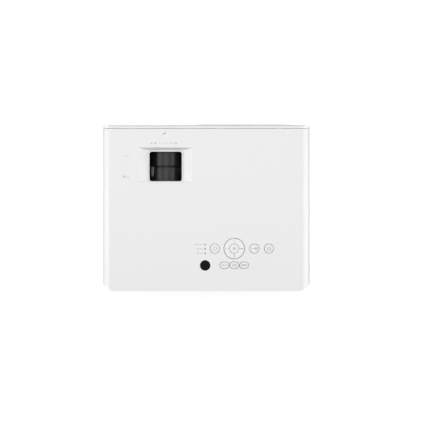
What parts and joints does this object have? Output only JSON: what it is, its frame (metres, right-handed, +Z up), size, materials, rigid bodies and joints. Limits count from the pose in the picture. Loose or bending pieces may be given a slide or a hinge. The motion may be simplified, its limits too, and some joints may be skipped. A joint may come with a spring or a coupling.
{
  "type": "video projector with a disc player",
  "caption": "Portable video projector in a white case with a top control pad, a finger window over its zoom and focus rings, and a motor-driven disc tray in the bowed front.",
  "frame": {"origin": "middle of the body's outline, on the plane that the feet stand on", "axes": "+X along the width, to the lens side; -Y out of the front, where the lens looks; +Z up"},
  "size_m": [0.312, 0.2515, 0.11],
  "materials": {
    "white_case": "fine satin moulding",
    "white_key": "smooth satin",
    "black_gloss": "polished",
    "black_matte": "fine grain",
    "dark_metal": "satin black",
    "engine_alloy": "cast",
    "plated_steel": "zinc plated",
    "blue_socket": "moulded",
    "pin_brass": "bright",
    "green_board": "solder mask",
    "dome_steel": "sprung",
    "gear_resin": "moulded",
    "foot_rubber": "matt",
    "lens_glass": "coated",
    "wheel_glass": "coloured segments",
    "light_pipe": "clear plastic"
  },
  "bodies": {
    "case": {"top_cover": "white_case", "bottom_case": "white_case", "front_bezel": "white_case", "rear_panel": "black_matte", "lens_trim_ring": "dark_metal", "ir_window_top": "black_gloss", "ir_window_front": "black_gloss", "led_light_pipes": "light_pipe", "case_screws": "plated_steel", "rear_foot_fixed": "foot_rubber", "lens_barrel": "dark_metal", "lens_retainer": "black_matte", "light_engine_housing": "engine_alloy", "imager_board": "green_board", "imager_heatsink": "engine_alloy", "colour_wheel_motor": "plated_steel", "light_source_module": "engine_alloy", "exhaust_fan_frame": "black_matte", "intake_fan_frame": "black_matte", "main_board": "green_board", "power_supply_board": "green_board", "keypad_board": "green_board", "dome_switches": "dome_steel", "ac_inlet": "black_matte", "ac_inlet_pins": "pin_brass", "hdmi_ports": "plated_steel", "d_sub_ports": "blue_socket", "usb_port": "plated_steel", "audio_jacks": "black_matte", "speaker": "black_matte", "drive_chassis": "plated_steel", "drive_lid": "plated_steel", "drive_motors": "plated_steel", "guide_rods": "plated_steel"},
    "zoom_ring": {"zoom_ring": "black_gloss"},
    "focus_ring": {"focus_ring": "black_gloss"},
    "front_lens": {"front_lens_cell": "black_matte", "front_lens_element": "lens_glass"},
    "colour_wheel": {"colour_wheel": "wheel_glass"},
    "exhaust_rotor": {"exhaust_fan_rotor": "black_matte"},
    "intake_rotor": {"intake_fan_rotor": "black_matte"},
    "tray": {"disc_tray": "black_matte", "tray_door": "white_case"},
    "loading_gear": {"loading_gear": "gear_resin"},
    "loading_pinion": {"loading_pinion": "gear_resin"},
    "turntable": {"turntable": "gear_resin"},
    "disc_clamp": {"disc_clamp": "black_matte"},
    "laser_sled": {"laser_sled": "black_matte"},
    "front_foot": {"front_foot": "foot_rubber"},
    "rear_foot": {"rear_foot_adjuster": "foot_rubber"},
    "key_power": {"key_power": "white_key"},
    "key_source": {"key_source": "white_key"},
    "key_blank": {"key_blank": "white_key"},
    "key_back": {"key_back": "white_key"},
    "key_menu": {"key_menu": "white_key"},
    "key_info": {"key_info": "white_key"},
    "key_ok": {"key_ok": "white_key"},
    "nav_gimbal": {"nav_gimbal": "black_matte"},
    "nav_ring": {"nav_ring": "white_key"},
    "eject_button": {"eject_button": "white_key"}
  },
  "joints": [
    {"name": "zoom_turn", "type": "hinge", "parent": "case", "child": "zoom_ring", "pos_m": [0.0614, -0.049, 0.066], "axis": [0, -1, 0], "range_deg": [0, 85]},
    {"name": "focus_turn", "type": "hinge", "parent": "case", "child": "focus_ring", "pos_m": [0.0614, -0.076, 0.066], "axis": [0, 1, 0], "range_deg": [-60, 60]},
    {"name": "front_lens_slide", "type": "slide", "parent": "case", "child": "front_lens", "axis": [0, -1, 0], "range_m": [-0.002, 0.002]},
    {"name": "colour_wheel_spin", "type": "hinge", "parent": "case", "child": "colour_wheel", "pos_m": [0.112, 0.0405, 0.051], "axis": [0, 1, 0], "continuous": true},
    {"name": "exhaust_fan_spin", "type": "hinge", "parent": "case", "child": "exhaust_rotor", "pos_m": [-0.141, 0.0835, 0.07], "axis": [1, 0, 0], "continuous": true},
    {"name": "intake_fan_spin", "type": "hinge", "parent": "case", "child": "intake_rotor", "pos_m": [0.1435, -0.066, 0.07], "axis": [1, 0, 0], "continuous": true},
    {"name": "tray_slide", "type": "slide", "parent": "case", "child": "tray", "axis": [0, -1, 0], "range_m": [0, 0.141]},
    {"name": "loading_gear_turn", "type": "hinge", "parent": "case", "child": "loading_gear", "pos_m": [-0.0415, -0.096, 0.0328], "axis": [0, 0, -1], "range_deg": [0, 675]},
    {"name": "loading_pinion_turn", "type": "hinge", "parent": "case", "child": "loading_pinion", "pos_m": [-0.061, -0.096, 0.0328], "axis": [0, 0, 1], "range_deg": [0, 1080]},
    {"name": "turntable_spin", "type": "hinge", "parent": "case", "child": "turntable", "pos_m": [-0.0595, -0.047, 0.039], "axis": [0, 0, 1], "continuous": true},
    {"name": "disc_clamp_spin", "type": "hinge", "parent": "case", "child": "disc_clamp", "pos_m": [-0.0595, -0.047, 0.05], "axis": [0, 0, 1], "continuous": true},
    {"name": "laser_sled_slide", "type": "slide", "parent": "case", "child": "laser_sled", "axis": [0, 1, 0], "range_m": [0, 0.029]},
    {"name": "front_foot_height", "type": "slide", "parent": "case", "child": "front_foot", "axis": [0, 0, -1], "range_m": [0, 0.014]},
    {"name": "rear_foot_height", "type": "slide", "parent": "case", "child": "rear_foot", "axis": [0, 0, -1], "range_m": [0, 0.01]},
    {"name": "press_power", "type": "slide", "parent": "case", "child": "key_power", "axis": [0, 0, -1], "range_m": [0, 0.0007], "stiffness_N_per_m": 800},
    {"name": "press_source", "type": "slide", "parent": "case", "child": "key_source", "axis": [0, 0, -1], "range_m": [0, 0.0007], "stiffness_N_per_m": 800},
    {"name": "press_blank", "type": "slide", "parent": "case", "child": "key_blank", "axis": [0, 0, -1], "range_m": [0, 0.0007], "stiffness_N_per_m": 800},
    {"name": "press_back", "type": "slide", "parent": "case", "child": "key_back", "axis": [0, 0, -1], "range_m": [0, 0.0007], "stiffness_N_per_m": 800},
    {"name": "press_menu", "type": "slide", "parent": "case", "child": "key_menu", "axis": [0, 0, -1], "range_m": [0, 0.0007], "stiffness_N_per_m": 800},
    {"name": "press_info", "type": "slide", "parent": "case", "child": "key_info", "axis": [0, 0, -1], "range_m": [0, 0.0007], "stiffness_N_per_m": 800},
    {"name": "press_ok", "type": "slide", "parent": "case", "child": "key_ok", "axis": [0, 0, -1], "range_m": [0, 0.0007], "stiffness_N_per_m": 800},
    {"name": "nav_gimbal_tilt", "type": "hinge", "parent": "case", "child": "nav_gimbal", "pos_m": [-0.042, 0.0616, 0.103], "axis": [0.7071, 0.7071, 0], "range_deg": [-2, 2], "stiffness_Nm_per_rad": 0.6},
    {"name": "nav_ring_tilt", "type": "hinge", "parent": "nav_gimbal", "child": "nav_ring", "pos_m": [-0.042, 0.0616, 0.103], "axis": [-0.7071, 0.7071, 0], "range_deg": [-2, 2], "stiffness_Nm_per_rad": 0.6},
    {"name": "press_eject", "type": "slide", "parent": "case", "child": "eject_button", "axis": [0, 1, 0], "range_m": [0, 0.0007], "stiffness_N_per_m": 800}
  ],
  "couplings": [
    {"joint": "front_lens_slide", "follows": "focus_turn", "m_per_rad": 0.0017},
    {"joint": "loading_gear_turn", "follows": "tray_slide", "rad_per_m": 83.333},
    {"joint": "loading_pinion_turn", "follows": "tray_slide", "rad_per_m": 133.33}
  ]
}
